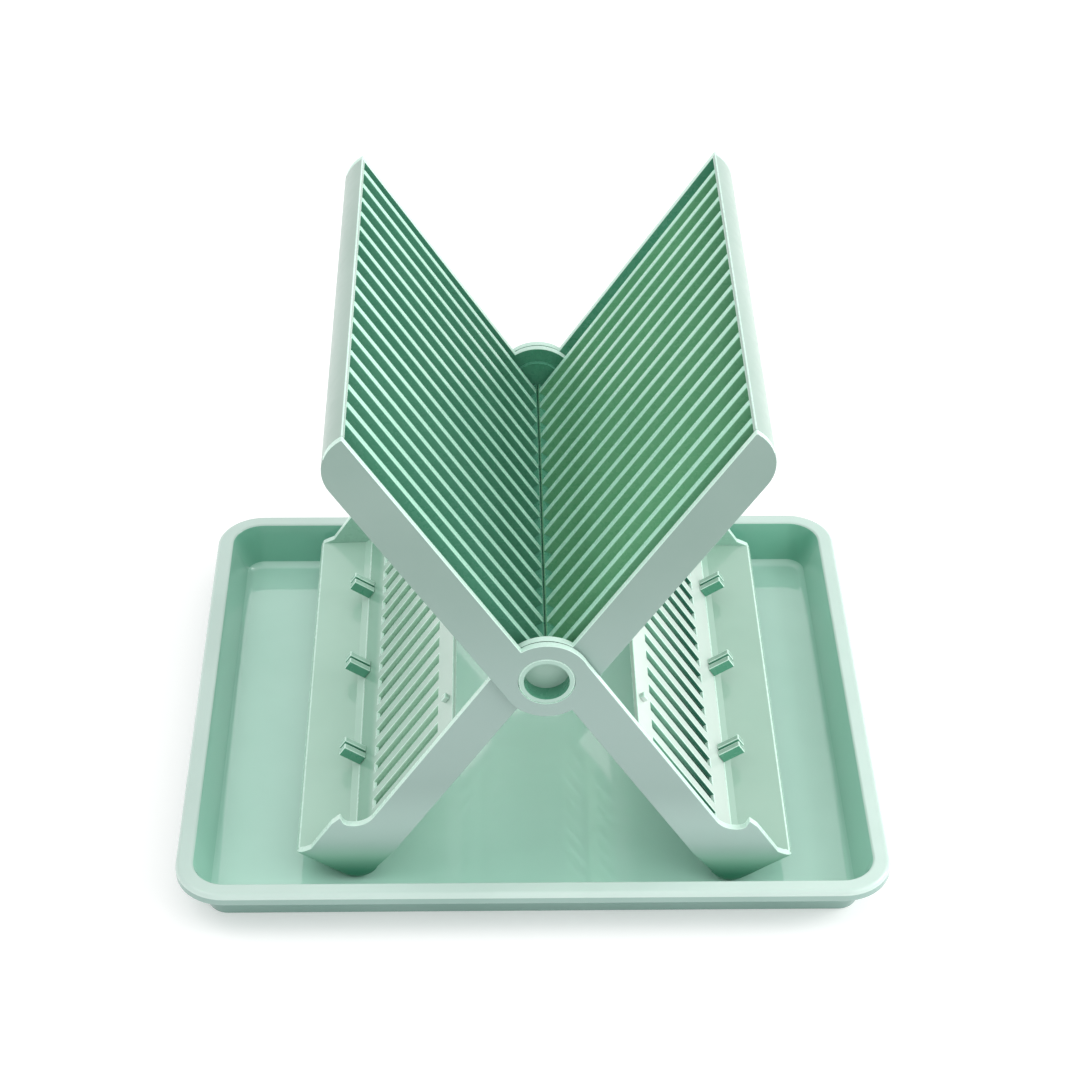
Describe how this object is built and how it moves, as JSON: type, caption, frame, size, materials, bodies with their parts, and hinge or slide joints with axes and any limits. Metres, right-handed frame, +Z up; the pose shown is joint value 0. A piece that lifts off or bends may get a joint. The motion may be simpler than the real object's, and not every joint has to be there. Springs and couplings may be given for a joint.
{
  "type": "folding dish drying rack",
  "caption": "Folding X-frame dish drying rack with finned plate V, slotted legs with cup pegs, and a rectangular drip tray.",
  "frame": {"origin": "middle of the drip tray's underside, on the surface it stands on", "axes": "+X across the rack's opening V, +Y from the front towards the back along the pivot, +Z up"},
  "size_m": [0.39, 0.346, 0.3011],
  "materials": {
    "tray_plastic": "glossy mint polypropylene",
    "rack_plastic": "glossy mint polypropylene"
  },
  "bodies": {
    "tray": {"tray_floor": "tray_plastic", "tray_wall": "tray_plastic", "tray_rim": "tray_plastic"},
    "panel_a": {"front_cheek_a": "rack_plastic", "back_cheek_a": "rack_plastic", "top_rail_a": "rack_plastic", "plate_fins_a": "rack_plastic", "fin_spine_a": "rack_plastic", "fin_heel_a": "rack_plastic", "leg_sheet_a": "rack_plastic", "sheet_ribs_a": "rack_plastic", "cup_rail_a": "rack_plastic", "foot_rail_a": "rack_plastic", "cup_pegs_a": "rack_plastic", "catch_nubs_a": "rack_plastic", "pivot_hub_back": "rack_plastic"},
    "panel_b": {"front_cheek_b": "rack_plastic", "back_cheek_b": "rack_plastic", "top_rail_b": "rack_plastic", "plate_fins_b": "rack_plastic", "fin_spine_b": "rack_plastic", "fin_heel_b": "rack_plastic", "leg_sheet_b": "rack_plastic", "sheet_ribs_b": "rack_plastic", "cup_rail_b": "rack_plastic", "foot_rail_b": "rack_plastic", "cup_pegs_b": "rack_plastic", "catch_nubs_b": "rack_plastic", "pivot_hub_front": "rack_plastic"}
  },
  "joints": [
    {"name": "fold", "type": "hinge", "parent": "tray", "child": "panel_a", "pos_m": [0.10962, 0, 0.0168], "axis": [0, 1, 0], "range_deg": [0, 33]},
    {"name": "scissor_pivot", "type": "hinge", "parent": "panel_a", "child": "panel_b", "pos_m": [0.006, 0, 0.14851], "axis": [0, -1, 0], "range_deg": [0, 66]}
  ],
  "couplings": [
    {"joint": "scissor_pivot", "follows": "fold", "ratio": 2}
  ]
}
